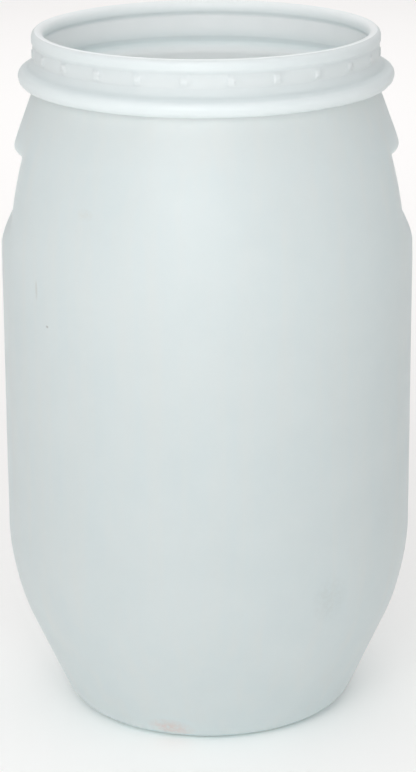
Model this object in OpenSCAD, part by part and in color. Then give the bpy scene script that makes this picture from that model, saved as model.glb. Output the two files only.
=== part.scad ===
// Open head drum of natural polyethylene, blow moulded in one piece.
// The drum stands on z = 0 with its axis on Z and its two hand grips at +X and -X.

/* [Body] */
// Outside diameter of the straight body
body_d = 480; // [450:1:510]
// Height from the floor to the top of the rim
drum_h = 815; // [800:1:860]
// Wall thickness of the body
wall = 4; // [3:0.25:5]
// Height at which the lower cone would meet the straight body
lower_corner_z = 167; // [140:1:200]
// Height at which the shoulder would meet the straight body
shoulder_corner_z = 637; // [600:1:660]
// Radius of the bend from the lower cone to the body
lower_bend = 260; // [150:5:300]
// Radius of the bend from the body to the shoulder
shoulder_bend = 370; // [200:5:400]

/* [Base] */
// Diameter at which the lower cone would meet the floor
base_d = 330; // [300:1:350]
// Radius of the chime, the rounded edge round the base
chime_round = 34; // [15:1:40]
// Width of the flat ring that the drum stands on
foot_w = 15; // [8:1:22]
// Rise of the base inside the foot ring
base_rise = 12; // [6:1:20]

/* [Neck] */
// Diameter of the shoulder where it reaches the neck
neck_root_d = 394; // [388:1:400]
// Height of the neck root, under the flange
neck_root_z = 753; // [740:1:758]
// Outside diameter of the neck band
neck_d = 397.5; // [392:0.5:400]
// Inside diameter of the neck
neck_bore_d = 387; // [382:0.5:390]
// Outside diameter of the flange
flange_d = 432; // [420:1:440]
// Thickness of the flange near its edge
flange_t = 16; // [15:0.5:20]
// Outside diameter of the rim bead
rim_d = 400; // [396:0.5:404]
// Inside diameter of the rim bead, which is the mouth
mouth_d = 373; // [364:0.5:380]
// Depth of the rim bead
rim_depth = 13; // [9:0.5:16]
// Depth of the groove inside the neck, behind the flange
groove_depth = 6; // [3:0.5:8]

/* [Ribs] */
// Number of ribs round the neck
rib_count = 24; // [12:1:36]
// Width of each rib
rib_w = 8.5; // [5:0.5:12]
// Height of each rib
rib_h = 9.5; // [6:0.5:14]
// How far each rib stands out of the neck
rib_proud = 1.5; // [0.8:0.1:2.5]
// Distance from the top of the rim to the top of the ribs
rib_drop = 19; // [15:0.5:22]

/* [Grips] */
// Width of each hand grip across its top
grip_top_w = 151; // [120:1:160]
// Width of each hand grip where its floor begins to rise
grip_low_w = 159; // [130:1:170]
// Height of the roof that the fingers hook under
grip_roof_z = 682; // [660:1:695]
// Height at which the ramp below the grip leaves the body
grip_ramp_z = 577; // [560:1:600]
// Radius from the drum's axis to the floor of the grip at its roof
grip_floor_r = 195; // [190:1:205]
// Height at which the ramp meets the floor
grip_knee_z = 636; // [620:1:650]

/* [Hidden] */

$fn = 180;
// Segments in each rounded corner of an outline
ARC_STEPS = 10;
// Overlap that a cutting or joining solid has past its target
LAP = 1;

// Corner radii of the base, from the dished middle out to the foot ring
dish_round = 16;
foot_in_round = 8;
// Width of the slope from the dished middle down to the foot ring
dish_slope_w = 24;

// Corner radii of the neck's outside, from the shoulder up to the rim bead
root_round = 1.5;
flange_low_round = 10;
flange_top_round = 7;
neck_foot_round = 7;
neck_band_round = 6;
bead_foot_round = 4;
bead_low_round = 2.5;
bead_top_round = 6.4;
// Size of the fillet from the flange's top up to the neck band
neck_foot = 5;
// How far the neck band draws in between the ribs and the rim bead
band_taper = 0.3;

// Corner radii of the neck's inside, from the mouth down to the shoulder
mouth_low_round = 3;
bore_top_round = 5;
groove_edge_round = 3;
groove_round = 4;
bore_low_round = 6;
// Height of the slope from the mouth out to the neck's bore
bore_lead_h = 5;
// Height of the slopes into the groove, above and below
groove_lead_h = 7;

// Half the difference between a rib's width at its foot and in its middle
rib_draft = 0.75;
// Depth that a rib's foot is sunk into the neck band
rib_sunk = 0.5;

// How much further out the grip's floor is at its knee than at its roof
grip_floor_lean = 8;
// Corner radii of the grip, seen from the side
grip_knee_round = 40;
grip_roof_round = 9;
// Share of the wall by which the ramp's start and the knee move to keep the wall even
ramp_grow = 1.6;
knee_grow = 0.7;
// Corner radii of the grip, seen from the front
grip_low_round = 10;
grip_side_round = 18;
grip_top_round = 7;
// How much narrower the grip is at its lowest edge, and the height over which it widens
grip_low_taper = 22;
grip_taper_h = 28;
// Distance below the ramp at which the grip's narrow end starts
grip_low_drop = 4;

body_r = body_d / 2;
base_r = base_d / 2;
neck_r = neck_d / 2;
neck_bore_r = neck_bore_d / 2;
neck_root_r = neck_root_d / 2;
flange_r = flange_d / 2;
rim_r = rim_d / 2;
mouth_r = mouth_d / 2;
rim_low_z = drum_h - rim_depth;
flange_low_z = neck_root_z;
flange_top_z = flange_low_z + flange_t;
rib_top_z = drum_h - rib_drop;
groove_centre_z = flange_low_z + flange_t / 2 + 0.5;
groove_half_h = flange_t / 2 - 5.5;

// The flat foot ring starts where the chime's arc touches the floor.
lower_cone_lean = atan2(body_r - base_r, lower_corner_z);
foot_out_r = base_r - chime_round * tan((90 - lower_cone_lean) / 2);
foot_in_r = foot_out_r - foot_w;

// Unit vector from point a to point b.
function toward(a, b) = (b - a) / norm(b - a);

// Points of the arc that rounds corner p between its neighbours a and b.
function corner_arc(a, p, b, radius) =
    let (u = toward(p, a), v = toward(p, b),
         half = acos(u * v) / 2,
         centre = p + toward([0, 0], u + v) * radius / sin(half),
         first = p + u * radius / tan(half) - centre,
         last = p + v * radius / tan(half) - centre,
         start = atan2(first[1], first[0]),
         turn = atan2(first[0] * last[1] - first[1] * last[0], first * last))
    [for (i = [0 : ARC_STEPS])
        centre + radius * [cos(start + turn * i / ARC_STEPS), sin(start + turn * i / ARC_STEPS)]];

// An outline from corners of [x, y, corner radius], with its first and last corners left sharp.
function rounded(corners) =
    [for (i = [0 : len(corners) - 1])
        let (c = corners[i], p = [c[0], c[1]])
        each (i == 0 || i == len(corners) - 1 || c[2] == 0) ? [p]
            : corner_arc([corners[i - 1][0], corners[i - 1][1]], p,
                         [corners[i + 1][0], corners[i + 1][1]], c[2])];

// Corner i of a path, moved to the left of the path by t, with its radius changed to suit.
function inset_corner(path, i, t) =
    let (a = [path[i - 1][0], path[i - 1][1]], p = [path[i][0], path[i][1]],
         b = [path[i + 1][0], path[i + 1][1]],
         d1 = toward(a, p), d2 = toward(p, b),
         n1 = [-d1[1], d1[0]], n2 = [-d2[1], d2[0]],
         q = p + t * (n1 + n2) / (1 + n1 * n2),
         left_turn = d1[0] * d2[1] - d1[1] * d2[0] > 0)
    [q[0], q[1], path[i][2] + (left_turn ? -t : t)];

// Outside of the base and body, from the axis outwards and up to the neck root.
base_and_body = [
    [0, base_rise, 0],
    [foot_in_r - dish_slope_w, base_rise, dish_round],
    [foot_in_r, 0, foot_in_round],
    [base_r, 0, chime_round],
    [body_r, lower_corner_z, lower_bend],
    [body_r, shoulder_corner_z, shoulder_bend],
    [neck_root_r, neck_root_z, root_round]];

// Outside of the neck, from the flange's underside up to the outer edge of the rim.
neck_outside = [
    [flange_r, flange_low_z, flange_low_round],
    [flange_r, flange_top_z, flange_top_round],
    [neck_r + neck_foot, flange_top_z + neck_foot, neck_foot_round],
    [neck_r, rib_top_z - rib_h - 2, neck_band_round],
    [neck_r - band_taper, rim_low_z - 3, bead_foot_round],
    [rim_r, rim_low_z + 1, bead_low_round],
    [rim_r, drum_h, bead_top_round]];

// Inside of the neck, from the mouth down to the top of the shoulder's inner face.
neck_inside = [
    [mouth_r, drum_h, bead_top_round],
    [mouth_r, rim_low_z, mouth_low_round],
    [neck_bore_r, rim_low_z - bore_lead_h, bore_top_round],
    [neck_bore_r, groove_centre_z + groove_half_h + groove_lead_h, groove_edge_round],
    [neck_bore_r + groove_depth, groove_centre_z + groove_half_h, groove_round],
    [neck_bore_r + groove_depth, groove_centre_z - groove_half_h, groove_round],
    [neck_bore_r, groove_centre_z - groove_half_h - groove_lead_h, bore_low_round]];

last_body_corner = len(base_and_body) - 1;

// Inside of the body, on the same path one wall further in.
body_inside = [for (i = [1 : last_body_corner - 1]) inset_corner(base_and_body, i, wall)];

outer_outline = concat(base_and_body, neck_outside, [[0, drum_h, 0]]);
cavity_outline = concat(
    [[0, base_rise + wall, 0]], body_inside,
    [for (i = [len(neck_inside) - 1 : -1 : 1]) neck_inside[i]],
    [[mouth_r, drum_h + LAP, 0], [0, drum_h + LAP, 0]]);

// The solid that an outline makes when it is turned about the drum's axis.
module turned(corners) {
    rotate_extrude() polygon(rounded(corners));
}

// The rounding of the mouth's upper edge, cut as a ring.
module mouth_edge() {
    edge = neck_inside[0][2];
    arc = corner_arc([rim_r, drum_h], [mouth_r, drum_h], [mouth_r, rim_low_z], edge);
    rotate_extrude()
        polygon(concat(arc, [[mouth_r - LAP, drum_h - edge], [mouth_r - LAP, drum_h + LAP],
                             [mouth_r + edge, drum_h + LAP]]));
}

// One rib on the neck, a block with sloping sides.
module rib() {
    back = neck_bore_r + wall / 2;
    foot = neck_r - rib_sunk;
    front = neck_r + rib_proud;
    half = rib_w / 2;
    translate([0, 0, rib_top_z - rib_h])
        linear_extrude(rib_h)
            polygon([[back, -half], [foot, -half - rib_draft], [front, -half + rib_draft],
                     [front, half - rib_draft], [foot, half + rib_draft], [back, half]]);
}

// The ring of ribs, half a pitch off the grips' axis.
module rib_ring() {
    pitch = 360 / rib_count;
    for (i = [0 : rib_count - 1])
        rotate(pitch * (i + 0.5)) rib();
}

// The space of the grip at +X: a ramp, a steep floor and a level roof, between two sides.
// Each face is moved out by grow, so the same module also gives the wall behind the grip.
module grip_space(grow) {
    far = body_r + 20;
    knee_r = grip_floor_r + grip_floor_lean;
    ramp_slope = (body_r - knee_r) / (grip_knee_z - grip_ramp_z);
    ramp_start_z = grip_ramp_z - (far - body_r) / ramp_slope;
    side = [
        [far, ramp_start_z - grow * ramp_grow, 0],
        [knee_r - grow, grip_knee_z - grow * knee_grow, grip_knee_round + grow],
        [grip_floor_r - grow, grip_roof_z + grow, grip_roof_round + grow],
        [far, grip_roof_z + grow, 0]];
    top = grip_top_w / 2 + grow;
    wide = grip_low_w / 2 + grow;
    narrow = wide - grip_low_taper;
    front = [
        [0, ramp_start_z - grip_low_round, 0],
        [narrow, ramp_start_z - grip_low_round, 0],
        [narrow, grip_ramp_z - grip_low_drop - grow, grip_low_round],
        [wide, grip_ramp_z + grip_taper_h, grip_side_round],
        [top, grip_roof_z + grow, grip_top_round + grow],
        [0, grip_roof_z + grow, 0]];
    half = rounded(front);
    intersection() {
        rotate([90, 0, 0]) translate([0, 0, -body_r])
            linear_extrude(body_d) polygon(rounded(side));
        rotate([90, 0, 90]) linear_extrude(far + LAP)
            polygon(concat(half, [for (i = [len(half) - 1 : -1 : 0]) [-half[i][0], half[i][1]]]));
    }
}

// Both grips' spaces.
module both_grips(grow) {
    for (turn = [0, 180])
        rotate(turn) grip_space(grow);
}

// The whole moulding: a turned shell with ribs on its neck and a grip pressed into each side.
module drum_body() {
    color("#dfe9ea")
    difference() {
        union() {
            difference() {
                turned(outer_outline);
                both_grips(0);
            }
            rib_ring();
        }
        difference() {
            turned(cavity_outline);
            both_grips(wall);
        }
        mouth_edge();
    }
}

drum_body();
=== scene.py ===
# %% [markdown]
# # An open head drum in natural polyethylene
# This lesson builds one blow moulded drum: a hollow skin of milky plastic, four millimetres
# thick, standing open with no lid. The whole drum is a single moulding, so the lesson makes a
# single piece. Its character is in its outline, in the thick rim and flange of its neck, in the
# two hand grips pressed into its shoulder, and in how the plastic lets light through.

# %% Load the measured model
import math

import bmesh
import bpy
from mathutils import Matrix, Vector, noise


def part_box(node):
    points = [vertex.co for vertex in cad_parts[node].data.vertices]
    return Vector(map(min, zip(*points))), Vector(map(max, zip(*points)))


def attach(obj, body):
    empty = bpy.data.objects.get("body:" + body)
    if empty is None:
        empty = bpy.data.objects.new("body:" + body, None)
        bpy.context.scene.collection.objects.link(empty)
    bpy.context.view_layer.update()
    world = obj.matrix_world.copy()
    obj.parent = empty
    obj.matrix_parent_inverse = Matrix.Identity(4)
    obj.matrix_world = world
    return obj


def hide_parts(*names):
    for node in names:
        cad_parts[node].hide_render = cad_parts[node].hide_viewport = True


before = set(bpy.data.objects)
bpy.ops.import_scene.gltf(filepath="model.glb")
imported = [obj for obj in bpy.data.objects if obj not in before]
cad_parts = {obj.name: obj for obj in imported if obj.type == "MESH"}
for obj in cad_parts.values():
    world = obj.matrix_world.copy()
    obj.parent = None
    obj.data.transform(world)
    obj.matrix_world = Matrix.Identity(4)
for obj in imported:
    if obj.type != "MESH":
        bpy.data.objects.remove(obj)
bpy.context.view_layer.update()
drum_low, drum_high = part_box("drum_body")
MM = 0.001
drum_height = drum_high[2] / MM
body_radius = (drum_high[0] - drum_low[0]) / 2 / MM
print("drum height", round(drum_height, 1), "mm, body radius", round(body_radius, 1), "mm")

# %% [markdown]
# ## The camera
# The drum is seen from in front and a little above, with a long lens about three metres away, so
# its sides look nearly parallel and the far side of the rim shows through the mouth. The camera
# comes first, because the light and the finish are judged through it. It stands a hair to the
# left of the drum's own front and is rolled by a third of a degree, as a camera set by eye is.

# %% Camera
CAMERA_DISTANCE = 3136 * MM
CAMERA_HEIGHT = 1368 * MM
CAMERA_PITCH = math.radians(17.39)
CAMERA_ROLL = math.radians(0.34)
CAMERA_SIDE = math.radians(0.36)
FOCAL_LENGTH_MM = 128.8
SENSOR_WIDTH_MM = 36

camera_data = bpy.data.cameras.new("camera")
camera_data.lens = FOCAL_LENGTH_MM
camera_data.sensor_width = SENSOR_WIDTH_MM
camera = bpy.data.objects.new("camera", camera_data)
bpy.context.scene.collection.objects.link(camera)
camera.location = (-CAMERA_DISTANCE * math.sin(CAMERA_SIDE),
                   -CAMERA_DISTANCE * math.cos(CAMERA_SIDE), CAMERA_HEIGHT)
camera.rotation_euler = (math.pi / 2 - CAMERA_PITCH, 0, -CAMERA_SIDE)
camera.rotation_euler.rotate_axis("Z", -CAMERA_ROLL)
bpy.context.scene.camera = camera
print("camera stands", CAMERA_DISTANCE, "m away and", CAMERA_HEIGHT, "m up")

# %% [markdown]
# ## The outline
# A drum is a turned shape, so one line from the middle of the base, up the outside, over the rim
# and down the inside describes all of it. The line is drawn with sharp corners first, each with
# the radius that it is to be rounded to. The inside of the body runs parallel to the outside, so
# its corners are worked out by moving each outside corner in by one wall.

# %% Corners of the outline, in millimetres: distance from the axis, height, corner radius
WALL = 4.0
BASE_RISE = 12.0
FOOT_INNER = 128.0
NECK_BORE = 193.5
NECK_BAND = 198.75
FLANGE = 216.0
FLANGE_LOW = 753.0
SHOULDER_BEND = 637.0
SHOULDER_ROUND = 370.0
SHOULDER_TOP = 197.0
RIM = 200.0
MOUTH = 186.5
GROOVE = 199.5
RIB_LOW = drum_height - 28.5
RIB_HIGH = drum_height - 19.0

body_corners = [
    (0.0, BASE_RISE, 0.0),
    (FOOT_INNER - 24.0, BASE_RISE, 16.0),
    (FOOT_INNER, 0.0, 8.0),
    (165.0, 0.0, 34.0),
    (body_radius, 167.0, 260.0),
    (body_radius, SHOULDER_BEND, SHOULDER_ROUND),
    (SHOULDER_TOP, FLANGE_LOW, 1.5),
]
neck_corners = [
    (FLANGE, FLANGE_LOW, 10.0),
    (FLANGE, 769.0, 7.0),
    (NECK_BAND + 5.0, 774.0, 7.0),
    (NECK_BAND, 783.5, 3.0),
    (NECK_BAND, RIB_LOW, 0.0),
    (NECK_BAND, RIB_HIGH, 0.0),
    (NECK_BAND - 0.3, drum_height - 15.5, 3.0),
    (RIM, drum_height - 12.0, 2.5),
    (RIM, drum_height, 6.4),
    (MOUTH, drum_height, 6.4),
    (MOUTH, drum_height - 13.0, 3.0),
    (NECK_BORE, drum_height - 18.0, 5.0),
    (NECK_BORE, 771.0, 3.0),
    (GROOVE, 764.0, 4.0),
    (GROOVE, 759.0, 4.0),
    (NECK_BORE, 752.0, 6.0),
]


def inner_corner(before, corner, after):
    """The corner moved one wall to the left of the path, with its radius changed to suit."""
    here = Vector(corner[:2])
    arriving = (here - Vector(before[:2])).normalized()
    leaving = (Vector(after[:2]) - here).normalized()
    left_a = Vector((-arriving.y, arriving.x))
    left_b = Vector((-leaving.y, leaving.x))
    moved = here + WALL * (left_a + left_b) / (1 + left_a.dot(left_b))
    turns_left = arriving.cross(leaving) > 0
    return (moved.x, moved.y, corner[2] + (-WALL if turns_left else WALL))


inside_corners = [inner_corner(*body_corners[i - 1:i + 2]) for i in range(1, len(body_corners) - 1)]
inside_corners = inside_corners[::-1] + [(0.0, BASE_RISE + WALL, 0.0)]
outline_corners = body_corners + neck_corners + inside_corners
print(len(outline_corners), "corners in the outline")

# %% [markdown]
# ## Rounding the corners
# A vertex bevel turns a corner of a line into an arc. A bevel is measured by how far it cuts back
# along each edge, so a corner of a known radius is cut back by that radius times the tangent of
# half its turn. The number of segments follows the length of the arc, so a tight rim corner and a
# wide shoulder bend come out equally smooth.

# %% The rounded outline as a line of edges
ARC_STEP = 5.5
FEWEST_ARC_STEPS = 3
LONGEST_EDGE = 24.0


def rounded_line(mesh, corners):
    """Draws the corners as a line in the XZ plane of the mesh and rounds each to its radius."""
    points = [mesh.verts.new((r, 0, z)) for r, z, _ in corners]
    for first, second in zip(points, points[1:]):
        mesh.edges.new((first, second))
    plan = []
    for i in range(1, len(corners) - 1):
        here = points[i].co.copy()
        turn = (here - points[i - 1].co).angle(points[i + 1].co - here)
        plan.append((points[i], turn, corners[i][2]))
    for point, turn, radius in plan:
        if radius == 0:
            continue
        steps = max(FEWEST_ARC_STEPS, round(radius * turn / ARC_STEP))
        bmesh.ops.bevel(mesh, geom=[point], offset=radius * math.tan(turn / 2),
                        offset_type="OFFSET", affect="VERTICES", segments=steps,
                        profile=0.5, material=-1)
    while True:
        long_edges = [e for e in mesh.edges if e.calc_length() > LONGEST_EDGE]
        if not long_edges:
            break
        bmesh.ops.subdivide_edges(mesh, edges=long_edges, cuts=1)


drum_mesh = bmesh.new()
rounded_line(drum_mesh, outline_corners)
print(len(drum_mesh.verts), "points on the rounded outline")

# %% [markdown]
# ## Turning one pitch of the neck
# The neck carries 24 small raised ribs, one every 15 degrees. The cheapest way to get them all
# alike is to turn the outline through just one pitch, shape the rib there, and then repeat the
# slice round the drum. The turn is made in three spins, so that edges fall exactly on both sides
# of the rib.

# %% One slice of the drum, with its rib
RIB_COUNT = 24
RIB_WIDTH = 9.0
RIB_PROUD = 1.5
RIB_SLOPE = 0.8
PLAIN_STEPS = 3
RIB_STEPS = 3
AXIS = Vector((0, 0, 1))
CENTRE = Vector((0, 0, 0))

pitch = 2 * math.pi / RIB_COUNT
rib_angle = RIB_WIDTH / NECK_BAND
plain_angle = (pitch - rib_angle) / 2
leading_edge = drum_mesh.verts[:] + drum_mesh.edges[:]
for angle, steps in ((plain_angle, PLAIN_STEPS), (rib_angle, RIB_STEPS), (plain_angle, PLAIN_STEPS)):
    turned = bmesh.ops.spin(drum_mesh, geom=leading_edge, cent=CENTRE, axis=AXIS,
                            angle=angle, steps=steps, use_merge=False)
    leading_edge = turned["geom_last"]


def on_rib(face):
    """True for the faces of the neck band that one rib stands on."""
    middle = face.calc_center_median()
    angle = math.atan2(middle.y, middle.x)
    outer = math.hypot(middle.x, middle.y) > (NECK_BAND + NECK_BORE) / 2
    return outer and RIB_LOW < middle.z < RIB_HIGH and plain_angle < angle < plain_angle + rib_angle


rib_faces = [f for f in drum_mesh.faces if on_rib(f)]
bmesh.ops.recalc_face_normals(drum_mesh, faces=drum_mesh.faces[:])
rib_outwards = rib_faces[0].normal.dot(rib_faces[0].calc_center_median()) > 0
bmesh.ops.inset_region(drum_mesh, faces=rib_faces, thickness=RIB_SLOPE,
                       depth=RIB_PROUD if rib_outwards else -RIB_PROUD, use_even_offset=True)
print(len(rib_faces), "faces raised as a rib,", len(drum_mesh.faces), "faces in the slice")

# %% [markdown]
# ## Closing the drum
# The slice is repeated round the axis and the copies are joined where they meet, at the seams and
# at the two poles in the middle of the base. The result is one closed skin with an outside and an
# inside, and its normals are recalculated before any shape is pressed into it.

# %% The whole turned skin
MERGE_DISTANCE = 0.02

bmesh.ops.spin(drum_mesh, geom=drum_mesh.verts[:] + drum_mesh.edges[:] + drum_mesh.faces[:],
               cent=CENTRE, axis=AXIS, angle=pitch * (RIB_COUNT - 1), steps=RIB_COUNT - 1,
               use_duplicate=True)
bmesh.ops.remove_doubles(drum_mesh, verts=drum_mesh.verts[:], dist=MERGE_DISTANCE)
bmesh.ops.recalc_face_normals(drum_mesh, faces=drum_mesh.faces[:])
open_edges = [e for e in drum_mesh.edges if not e.is_manifold]
print(len(drum_mesh.faces), "faces,", len(open_edges), "open edges")

# %% [markdown]
# ## The hand grips
# Each grip is a pocket in the shoulder: a ramp that leads the fingers up, a steep floor behind
# them, and a level roof to lift by. It could be cut with a boolean, but a boolean leaves sharp
# edges, and a blown wall has none. So the pocket is pressed in instead. Each point near a grip
# moves towards the axis by the depth that the ramp and floor, the two sides and the roof all
# allow, with smooth corners between them. The inside skin is pressed by the same rule with the
# wall's thickness added all round, so the wall stays even.

# %% Finer faces where the grips are
GRIP_HALF_ANGLE = math.radians(19.6)
GRIP_ROOF = 682.0
GRIP_RAMP_START = 577.0
GRIP_KNEE = 636.0
GRIP_KNEE_RADIUS = 203.0
GRIP_FLOOR_RADIUS = 195.0
ZONE_MARGIN = 16.0


def side_angle(point):
    """The point's angle from the nearer of +X and -X, seen from above."""
    return abs(math.atan2(point.y, abs(point.x)))


def in_grip_zone(point):
    """True for a point of the skin on or close round a grip."""
    reach = GRIP_HALF_ANGLE + ZONE_MARGIN / body_radius
    low, high = GRIP_RAMP_START - ZONE_MARGIN, GRIP_ROOF + ZONE_MARGIN
    far_out = math.hypot(point.x, point.y) > MOUTH
    return far_out and low < point.z < high and side_angle(point) < reach


zone_edges = [e for e in drum_mesh.edges if all(in_grip_zone(v.co) for v in e.verts)]
bmesh.ops.subdivide_edges(drum_mesh, edges=zone_edges, cuts=2, use_grid_fill=True)
print(len(drum_mesh.faces), "faces after refining round the grips")

# %% Press the grips into both skins
SIDE_SLOPE = 3.5
ROOF_SLOPE = 5.0
EDGE_SOFTNESS = 5.0
RAMP_SOFTNESS = 9.0
CORNER_SOFTNESS = 7.0


def soft_max(a, b, softness):
    """The larger of two values, with the switch between them rounded off."""
    blend = max(softness - abs(a - b), 0.0) / softness
    return max(a, b) + blend * blend * softness / 4


def soft_min(a, b, softness):
    """The smaller of two values, with the switch between them rounded off."""
    return -soft_max(-a, -b, softness)


def grip_floor(z):
    """Distance from the YZ plane to the grip's ramp and floor at this height."""
    ramp_lean = (body_radius - GRIP_KNEE_RADIUS) / (GRIP_KNEE - GRIP_RAMP_START)
    floor_lean = (GRIP_KNEE_RADIUS - GRIP_FLOOR_RADIUS) / (GRIP_ROOF - GRIP_KNEE)
    ramp = body_radius - (z - GRIP_RAMP_START) * ramp_lean
    floor = GRIP_KNEE_RADIUS - (z - GRIP_KNEE) * floor_lean
    return soft_max(ramp, floor, CORNER_SOFTNESS)


def grip_depth(point, wall):
    """How far the grip moves this point of a skin that lies one wall in from the outside."""
    radius = math.hypot(point.x, point.y)
    to_floor = abs(point.x) - (grip_floor(point.z) - wall)
    to_side = SIDE_SLOPE * (radius * (GRIP_HALF_ANGLE - side_angle(point)) + wall)
    to_roof = ROOF_SLOPE * (GRIP_ROOF + wall - point.z)
    depth = soft_min(soft_max(to_side, 0, EDGE_SOFTNESS), soft_max(to_roof, 0, EDGE_SOFTNESS),
                     CORNER_SOFTNESS)
    return max(0.0, soft_min(soft_max(to_floor, 0, RAMP_SOFTNESS), depth, CORNER_SOFTNESS))


def skin_radius(z):
    """The outside skin's radius at this height, from the belly up to the flange."""
    lean = (body_radius - SHOULDER_TOP) / (FLANGE_LOW - SHOULDER_BEND)
    bend_start = SHOULDER_BEND - SHOULDER_ROUND * math.tan(math.atan(lean) / 2)
    bent = body_radius - max(0.0, z - bend_start) ** 2 / (2 * SHOULDER_ROUND)
    return min(bent, SHOULDER_TOP + (FLANGE_LOW - z) * lean)


pressed = 0
for vertex in drum_mesh.verts:
    if not in_grip_zone(vertex.co):
        continue
    radius = math.hypot(vertex.co.x, vertex.co.y)
    is_inside = radius < skin_radius(vertex.co.z) - WALL / 2
    depth = grip_depth(vertex.co, WALL if is_inside else 0.0)
    vertex.co.x -= math.copysign(depth, vertex.co.x)
    pressed += depth > 0
print(pressed, "points pressed in")

# %% [markdown]
# ## A blown surface is never quite true
# Hot plastic blown against a mould cools unevenly, and the wall draws in and swells by a few
# tenths of a millimetre over the width of a hand. It is too little to see in the outline, but it
# bends the highlights. A smooth noise moves the body's points by that much, and fades out at the
# neck and foot, which are held in shape by their own thickness.

# %% Gentle waves in the body
WAVE_HEIGHT = 0.22
WAVE_LENGTH = 130.0
WAVE_FADE = 60.0
WAVE_LOW = 30.0
WAVE_HIGH = 745.0

for vertex in drum_mesh.verts:
    height = vertex.co.z
    fade = min(1.0, max(0.0, height - WAVE_LOW) / WAVE_FADE,
               max(0.0, WAVE_HIGH - height) / WAVE_FADE)
    outwards = Vector((vertex.co.x, vertex.co.y, 0))
    if fade == 0 or outwards.length == 0:
        continue
    wave = noise.noise(vertex.co / WAVE_LENGTH) - 0.5
    vertex.co += outwards.normalized() * (wave * WAVE_HEIGHT * fade)
print("waves up to", WAVE_HEIGHT, "mm deep")

# %% The finished mesh becomes an object, in metres
bmesh.ops.scale(drum_mesh, verts=drum_mesh.verts[:], vec=(MM, MM, MM))
bmesh.ops.recalc_face_normals(drum_mesh, faces=drum_mesh.faces[:])
for face in drum_mesh.faces:
    face.smooth = True
drum_data = bpy.data.meshes.new("blown_drum")
drum_mesh.to_mesh(drum_data)
drum_mesh.free()
drum = bpy.data.objects.new("blown_drum", drum_data)
bpy.context.scene.collection.objects.link(drum)
triangles = sum(len(p.vertices) - 2 for p in drum_data.polygons)
print("blown_drum has", triangles, "triangles")

# %% [markdown]
# ## Natural polyethylene
# Unpigmented high density polyethylene is milky: light enters it, scatters off its crystals and
# comes out again some way off, or through the wall. Its surface takes the fine sandblasted
# texture of the mould, so it has a soft satin shine. Subsurface scattering gives the milkiness,
# and because the drum is a real shell with an inside, light also reaches the far skin.

# %% Helpers for colours and nodes
def linear(hex_colour):
    """An sRGB hex colour as the linear RGBA that a shader needs."""
    channels = [int(hex_colour[i:i + 2], 16) / 255 for i in (1, 3, 5)]
    return [c / 12.92 if c <= 0.04045 else ((c + 0.055) / 1.055) ** 2.4 for c in channels] + [1.0]


def add(tree, kind, settings=None, **inputs):
    """Adds one node: settings are its own properties, and each input is a value or a socket."""
    node = tree.nodes.new(kind)
    for name, value in (settings or {}).items():
        setattr(node, name, value)
    for name, value in inputs.items():
        socket = node.inputs[int(name[1:])] if name[1:].isdigit() else node.inputs[name.replace("_", " ")]
        if isinstance(value, bpy.types.NodeSocket):
            tree.links.new(value, socket)
        else:
            socket.default_value = value
    return node


def ramp_between(tree, value, low, high, result_low=0.0, result_high=1.0):
    """Maps a value from one range to another and holds it at the ends."""
    node = add(tree, "ShaderNodeMapRange", {"clamp": True}, Value=value, From_Min=low,
               From_Max=high, To_Min=result_low, To_Max=result_high)
    return node.outputs["Result"]


def mix_colour(tree, factor, first, second):
    """Blends two colours by a factor."""
    node = add(tree, "ShaderNodeMix", {"data_type": "RGBA"}, i0=factor, i6=first, i7=second)
    return node.outputs[2]


# %% [markdown]
# ## What the eye should find in it
# Four things keep the plastic from looking like plain white paint. The colour wanders slightly
# over the width of a hand, where the wall is thicker or thinner. Faint upright streaks follow the
# way the hot plastic hung before it was blown. The neck is a little greyer outside than the body,
# and its inside is painted a little brighter, as painted light. And a drum that has been moved
# about carries a few marks: a speck, some smudges and a stain at the foot. The shoulder under the
# flange also gets a warm painted shade.

# %% Colours and sizes of the plastic
CLEAN = "#d6e4e5"
DENSE = "#d2e1e3"
STREAK = "#dde3df"
SCATTER_DISTANCE = 25 * MM
PATCH_SIZE = 90 * MM
STREAK_WIDTH = 22 * MM
STREAK_STRETCH = 0.06
GRAIN_SIZE = 1.6 * MM
GRAIN_DEPTH = 0.3 * MM
GRAIN_STRENGTH = 0.06
SMOOTHEST = 0.46
ROUGHEST = 0.54

plastic = bpy.data.materials.new("natural_polyethylene_blow_moulded")
plastic.use_nodes = True
tree = plastic.node_tree
tree.nodes.clear()
place = add(tree, "ShaderNodeTexCoord").outputs["Object"]

# %% Patches and streaks
# The patches say that the wall isn't equally thick, and the streaks say which way it was drawn.
patches = add(tree, "ShaderNodeTexNoise", Vector=place, Scale=1 / PATCH_SIZE, Detail=3.0,
              Roughness=0.5).outputs[0]
thickness = ramp_between(tree, patches, 0.35, 0.68)
plain_colour = mix_colour(tree, thickness, linear(CLEAN), linear(DENSE))
drawn_out = add(tree, "ShaderNodeVectorMath", {"operation": "MULTIPLY"}, i0=place,
                i1=(1, 1, STREAK_STRETCH)).outputs[0]
streaks = add(tree, "ShaderNodeTexNoise", Vector=drawn_out, Scale=1 / STREAK_WIDTH, Detail=2.0,
              Roughness=0.5).outputs[0]
streak_strength = ramp_between(tree, streaks, 0.45, 0.75, 0.0, 0.3)
drawn_colour = mix_colour(tree, streak_strength, plain_colour, linear(STREAK))

# %% Which skin a point is on
# Both skins share one material, so the boundary between them follows the middle of the wall: in
# along the shoulder, out round the groove, and back along the neck.
# The mask found here marks the inside skin, which is painted brighter as painted light below.
INSIDE_STARTS = 695.0
INSIDE_FADE = 35.0
SHOULDER_MIDDLE = SHOULDER_TOP - WALL / 2
SHOULDER_SPREAD = (body_radius - SHOULDER_TOP) / (FLANGE_LOW - SHOULDER_BEND)
OUT_ROUND_GROOVE = 7.5
BACK_TO_NECK = 6.5

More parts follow.
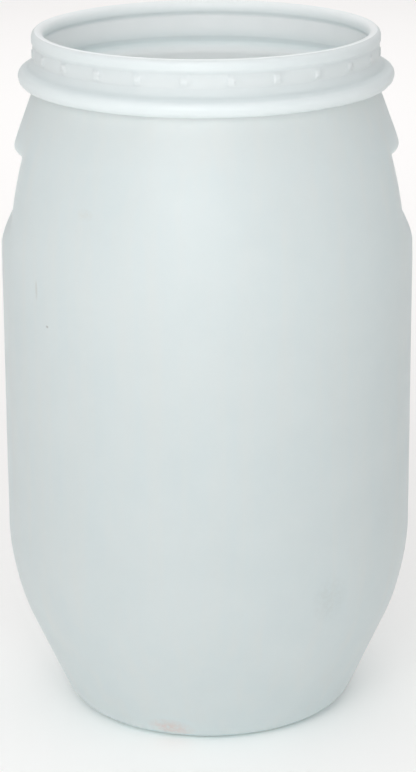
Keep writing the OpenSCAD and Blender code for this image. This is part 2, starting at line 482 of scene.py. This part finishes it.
height = add(tree, "ShaderNodeSeparateXYZ", Vector=place).outputs["Z"]
flat_place = add(tree, "ShaderNodeVectorMath", {"operation": "MULTIPLY"}, i0=place,
                 i1=(1, 1, 0)).outputs[0]
from_axis = add(tree, "ShaderNodeVectorMath", {"operation": "LENGTH"},
                i0=flat_place).outputs["Value"]
lowest_middle = SHOULDER_MIDDLE + (FLANGE_LOW - INSIDE_STARTS) * SHOULDER_SPREAD
shoulder_middle = ramp_between(tree, height, INSIDE_STARTS * MM, FLANGE_LOW * MM,
                               lowest_middle * MM, SHOULDER_MIDDLE * MM)
outwards_step = ramp_between(tree, height, 750 * MM, 756 * MM, 0.0, OUT_ROUND_GROOVE * MM)
inwards_step = ramp_between(tree, height, 772 * MM, 780 * MM, 0.0, -BACK_TO_NECK * MM)
both_steps = add(tree, "ShaderNodeMath", {"operation": "ADD"}, i0=outwards_step,
                 i1=inwards_step).outputs[0]
wall_middle = add(tree, "ShaderNodeMath", {"operation": "ADD"}, i0=shoulder_middle,
                  i1=both_steps).outputs[0]
depth_inside = add(tree, "ShaderNodeMath", {"operation": "SUBTRACT"}, i0=wall_middle,
                   i1=from_axis).outputs[0]
is_inside = ramp_between(tree, depth_inside, -0.5 * MM, 0.5 * MM)
high_up = ramp_between(tree, height, INSIDE_STARTS * MM, (INSIDE_STARTS + INSIDE_FADE) * MM)
painted_light_inside_cover = add(tree, "ShaderNodeMath", {"operation": "MULTIPLY"}, i0=is_inside,
                   i1=high_up).outputs[0]
print("inside told from outside above", INSIDE_STARTS, "mm")

# %% Colours of the neck and shoulder
# The grey outside looks like handling. The brighter inside is painted light, standing in for light
# that comes in through the mouth and through the wall. The warmer, darker tint under the flange is
# painted shade, where the flange shades the shoulder. All three are chosen values: a thinner or
# clearer wall would give much the same brightness.
NECK_OUTSIDE = "#d1d8d9"
NECK_INSIDE_PAINTED_LIGHT = "#ecf4f5"
UNDER_FLANGE_PAINTED_SHADE = "#d9d6cc"
PAINTED_SHADE_STRENGTH = 0.25

# Painted shade: the shoulder just under the flange is painted warmer and darker, more so nearer the
# flange.
painted_shade = ramp_between(tree, height, 690 * MM, 745 * MM, 0.0, PAINTED_SHADE_STRENGTH)
shaded_colour = mix_colour(tree, painted_shade, drawn_colour, linear(UNDER_FLANGE_PAINTED_SHADE))
at_neck = ramp_between(tree, height, 748 * MM, 756 * MM)
outside_colour = mix_colour(tree, at_neck, shaded_colour, linear(NECK_OUTSIDE))
# Painted light: above the shoulder's middle, the inside skin is painted brighter than the outside.
body_colour = mix_colour(tree, painted_light_inside_cover, outside_colour, linear(NECK_INSIDE_PAINTED_LIGHT))

# %% Marks of use
# Each mark is a soft ball of colour at a place on the skin, with its edge broken up by noise.
# They tell the eye that the drum is a used one, and how big it is. A row gives the mark's name,
# the place and half-widths of its ball in millimetres, its colour and its strength.
BREAK_UP_SIZE = 7 * MM
MARKS = [
    ("speck", (-181, -157, 506), (3, 3, 2), "#7f827c", 0.8),
    ("hairline scuff", (-193, -142, 545), (3, 3, 14), "#b4b8b0", 0.45),
    ("brown smudge", (-136, -189, 642), (13, 13, 8), "#c9c1b0", 0.2),
    ("pink stain at the foot", (-48, -167, 17), (34, 20, 17), "#ddbab1", 0.6),
    ("grey smudge", (137, -194, 189), (28, 28, 34), "#bcc3bf", 0.25),
]

break_up = add(tree, "ShaderNodeTexNoise", Vector=place, Scale=1 / BREAK_UP_SIZE, Detail=3.0,
               Roughness=0.6).outputs[0]
ragged = ramp_between(tree, break_up, 0.35, 0.6, 0.35, 1.0)
for mark_name, centre, size, colour, strength in MARKS:
    offset = add(tree, "ShaderNodeVectorMath", {"operation": "SUBTRACT"}, i0=place,
                 i1=[c * MM for c in centre]).outputs[0]
    scaled = add(tree, "ShaderNodeVectorMath", {"operation": "DIVIDE"}, i0=offset,
                 i1=[s * MM for s in size]).outputs[0]
    away = add(tree, "ShaderNodeVectorMath", {"operation": "LENGTH"}, i0=scaled).outputs["Value"]
    cover = ramp_between(tree, away, 0.3, 1.0, strength, 0.0)
    broken_cover = add(tree, "ShaderNodeMath", {"operation": "MULTIPLY"}, i0=cover,
                       i1=ragged).outputs[0]
    body_colour = mix_colour(tree, broken_cover, body_colour, linear(colour))
    print("mark:", mark_name)

# %% Surface and scattering
# The fine grain and the middling roughness spread every highlight into a satin bloom. The long
# scattering distance lets light through the wall, so that no side of the drum goes dark.
grain = add(tree, "ShaderNodeTexNoise", Vector=place, Scale=1 / GRAIN_SIZE, Detail=2.0,
            Roughness=0.6).outputs[0]
relief = add(tree, "ShaderNodeBump", Strength=GRAIN_STRENGTH, Distance=GRAIN_DEPTH, Height=grain)
sheen_change = ramp_between(tree, patches, 0.3, 0.7, SMOOTHEST, ROUGHEST)
shader = add(tree, "ShaderNodeBsdfPrincipled", {"subsurface_method": "RANDOM_WALK"},
             Base_Color=body_colour, Roughness=sheen_change, IOR=1.53,
             Normal=relief.outputs["Normal"])
shader.inputs["Subsurface Weight"].default_value = 1.0
shader.inputs["Subsurface Radius"].default_value = [SCATTER_DISTANCE] * 3
shader.inputs["Subsurface Scale"].default_value = 1.0
add(tree, "ShaderNodeOutputMaterial", Surface=shader.outputs[0])
drum_data.materials.append(plastic)

# %% Tie the drum to its measured body
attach(drum, "root")
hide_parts("drum_body")
print("material", plastic.name, "has", len(tree.nodes), "nodes")

# %% [markdown]
# ## The studio
# The drum stands on a white floor in a softly glowing room. Three lights do the work: a large
# soft box in front on the left shapes the body, a faint wide one overhead reaches down through
# the mouth, and one over the floor behind keeps the background white. That last light also shines
# on the drum's back, and some of it comes through the wall and lights the inside. A milky shell
# passes light through many walls before it reaches the eye, so the light is followed for more
# bounces than usual. The colours are shown as they are, with no film curve, so that white is white.

# %% Floor
FLOOR_SIZE = 40.0
FLOOR_COLOUR = "#fefcfb"

floor_mesh = bmesh.new()
bmesh.ops.create_grid(floor_mesh, x_segments=1, y_segments=1, size=FLOOR_SIZE / 2)
floor_data = bpy.data.meshes.new("floor")
floor_mesh.to_mesh(floor_data)
floor_mesh.free()
floor = bpy.data.objects.new("floor", floor_data)
bpy.context.scene.collection.objects.link(floor)
floor_paint = bpy.data.materials.new("matt_white_floor")
floor_paint.use_nodes = True
floor_shader = floor_paint.node_tree.nodes["Principled BSDF"]
floor_shader.inputs["Base Color"].default_value = linear(FLOOR_COLOUR)
floor_shader.inputs["Roughness"].default_value = 0.9
floor_shader.inputs["Specular IOR Level"].default_value = 0.1
floor_data.materials.append(floor_paint)
print("floor is", FLOOR_SIZE, "m across")

# %% The glowing room
ROOM_COLOUR = "#ffffff"
WALL_GLOW = 0.64
CEILING_GLOW = 0.5
ROOM_TOP = 0.8

world = bpy.data.worlds.new("white_room")
world.use_nodes = True
room = world.node_tree
room.nodes.clear()
direction = add(room, "ShaderNodeTexCoord").outputs["Generated"]
height = add(room, "ShaderNodeSeparateXYZ", Vector=direction).outputs["Z"]
glow = ramp_between(room, height, 0.0, ROOM_TOP, WALL_GLOW, CEILING_GLOW)
backdrop = add(room, "ShaderNodeBackground", Color=linear(ROOM_COLOUR), Strength=glow)
add(room, "ShaderNodeOutputWorld", Surface=backdrop.outputs[0])
bpy.context.scene.world = world
bpy.context.scene.view_settings.view_transform = "Standard"
print("the room glows", WALL_GLOW, "at its walls and", CEILING_GLOW, "overhead")

# %% Soft boxes
OVERHEAD_SPREAD = math.radians(60)
OVERHEAD_STRENGTH = 0.3


def soft_box(name, place, target, size, power):
    """A square area light at a place, turned to face a target."""
    data = bpy.data.lights.new(name, "AREA")
    data.size = size
    data.energy = power
    lamp = bpy.data.objects.new(name, data)
    lamp.location = place
    lamp.rotation_euler = (Vector(target) - Vector(place)).to_track_quat("-Z", "Y").to_euler()
    bpy.context.scene.collection.objects.link(lamp)
    print(name, "gives", power, "W from", size, "m")


soft_box("key_front_left", place=(-0.35, -2.3, 1.35), target=(0, 0, 0.5), size=1.8, power=34)
soft_box("background_light", place=(0, 3.4, 2.4), target=(0, 3.4, 0), size=4.5, power=45)

overhead_data = bpy.data.lights.new("overhead", "SUN")
overhead_data.angle = OVERHEAD_SPREAD
overhead_data.energy = OVERHEAD_STRENGTH
overhead = bpy.data.objects.new("overhead", overhead_data)
bpy.context.scene.collection.objects.link(overhead)

# %% Light bounces
# A ray has to pass through several milky walls before the inside of the drum looks lit.
bpy.context.scene.cycles.diffuse_bounces = 16
bpy.context.scene.cycles.max_bounces = 24
